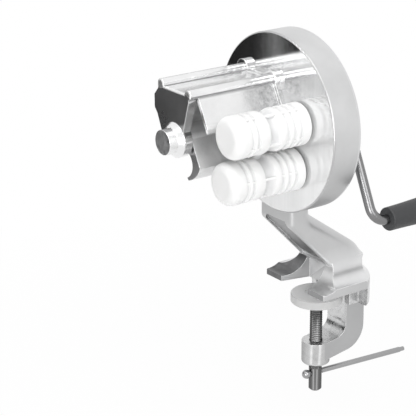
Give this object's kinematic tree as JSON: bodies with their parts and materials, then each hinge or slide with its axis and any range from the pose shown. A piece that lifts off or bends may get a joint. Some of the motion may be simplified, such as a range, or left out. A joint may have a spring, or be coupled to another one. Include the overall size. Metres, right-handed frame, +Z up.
{
  "type": "clamp-on pasta shaper",
  "caption": "Hand-cranked cast pasta shaper: round gear case with a pair of white rollers and a hooded rotary cutter, cranked from behind, on a neck with a screw table clamp.",
  "frame": {"origin": "the point of the jaw's underside, which rests on the table, over the clamp screw's axis", "axes": "+Z up, +Y from the rollers towards the crank, +X towards the side with the rollers"},
  "size_m": [0.1369, 0.2274, 0.2849],
  "materials": {
    "cast_case": "satin cast and polished",
    "cast_hood": "bright polished cast",
    "cast_rotor": "polished cast",
    "cover_sheet": "brushed sheet",
    "screw_steel": "plated",
    "bush_bronze": "plain turned bronze",
    "shaft_steel": "ground",
    "gear_steel": "cut and oiled",
    "clip_steel": "spring steel",
    "roller_plastic": "moulded white",
    "crank_chrome": "plated",
    "cap_chrome": "plated",
    "grip_plastic": "moulded dark grey",
    "pad_plastic": "moulded light grey",
    "clamp_steel": "zinc plated thread",
    "tommy_steel": "plated"
  },
  "bodies": {
    "frame": {"housing": "cast_case", "back_cover": "cover_sheet", "cover_screws": "screw_steel", "hood": "cast_hood", "hood_screws": "screw_steel", "upper_front_bush": "bush_bronze", "lower_front_bush": "bush_bronze", "cutter_rear_bush": "bush_bronze", "upper_rear_bush": "bush_bronze", "cutter_front_bush": "bush_bronze"},
    "crank": {"crank_shaft": "shaft_steel", "upper_roller": "roller_plastic", "upper_roller_pin": "shaft_steel", "upper_roller_gear": "gear_steel", "drive_gear": "gear_steel", "crank_spacer": "shaft_steel", "crank_hub": "crank_chrome", "hub_set_screw": "screw_steel", "crank_arm": "crank_chrome", "grip_cap": "cap_chrome"},
    "lower_roller_set": {"lower_roller_shaft": "shaft_steel", "lower_roller": "roller_plastic", "lower_roller_pin": "shaft_steel", "lower_roller_gear": "gear_steel", "lower_shaft_clip": "clip_steel"},
    "cutter_set": {"cutter_shaft": "shaft_steel", "cutter_rotor": "cast_rotor", "cutter_pin": "shaft_steel", "cutter_pinion": "gear_steel", "cutter_shaft_clip": "clip_steel"},
    "grip": {"crank_grip": "grip_plastic"},
    "pad": {"clamp_pad": "pad_plastic"},
    "screw": {"clamp_screw": "clamp_steel", "tommy_bar": "tommy_steel"}
  },
  "joints": [
    {"name": "crank_turn", "type": "hinge", "parent": "frame", "child": "crank", "pos_m": [0.0285, 0, 0.1373], "axis": [0, 1, 0], "continuous": true},
    {"name": "lower_roller_turn", "type": "hinge", "parent": "frame", "child": "lower_roller_set", "pos_m": [0.02295, 0, 0.10325], "axis": [0, 1, 0], "continuous": true},
    {"name": "cutter_turn", "type": "hinge", "parent": "frame", "child": "cutter_set", "pos_m": [-0.01698, 0, 0.12763], "axis": [0, 1, 0], "continuous": true},
    {"name": "grip_spin", "type": "hinge", "parent": "crank", "child": "grip", "pos_m": [0.06168, 0.05, 0.0645], "axis": [0, 1, 0], "continuous": true},
    {"name": "pad_slide", "type": "slide", "parent": "frame", "child": "pad", "axis": [0, 0, 1], "range_m": [-0.01801, 0.00451]},
    {"name": "screw_turn", "type": "hinge", "parent": "pad", "child": "screw", "pos_m": [0, 0, -0.05], "axis": [0, 0, 1], "range_deg": [-4320, 1080]}
  ],
  "couplings": [
    {"joint": "lower_roller_turn", "follows": "crank_turn", "ratio": -1},
    {"joint": "cutter_turn", "follows": "crank_turn", "ratio": -1.8182},
    {"joint": "pad_slide", "follows": "screw_turn", "m_per_rad": 0.00023873}
  ]
}
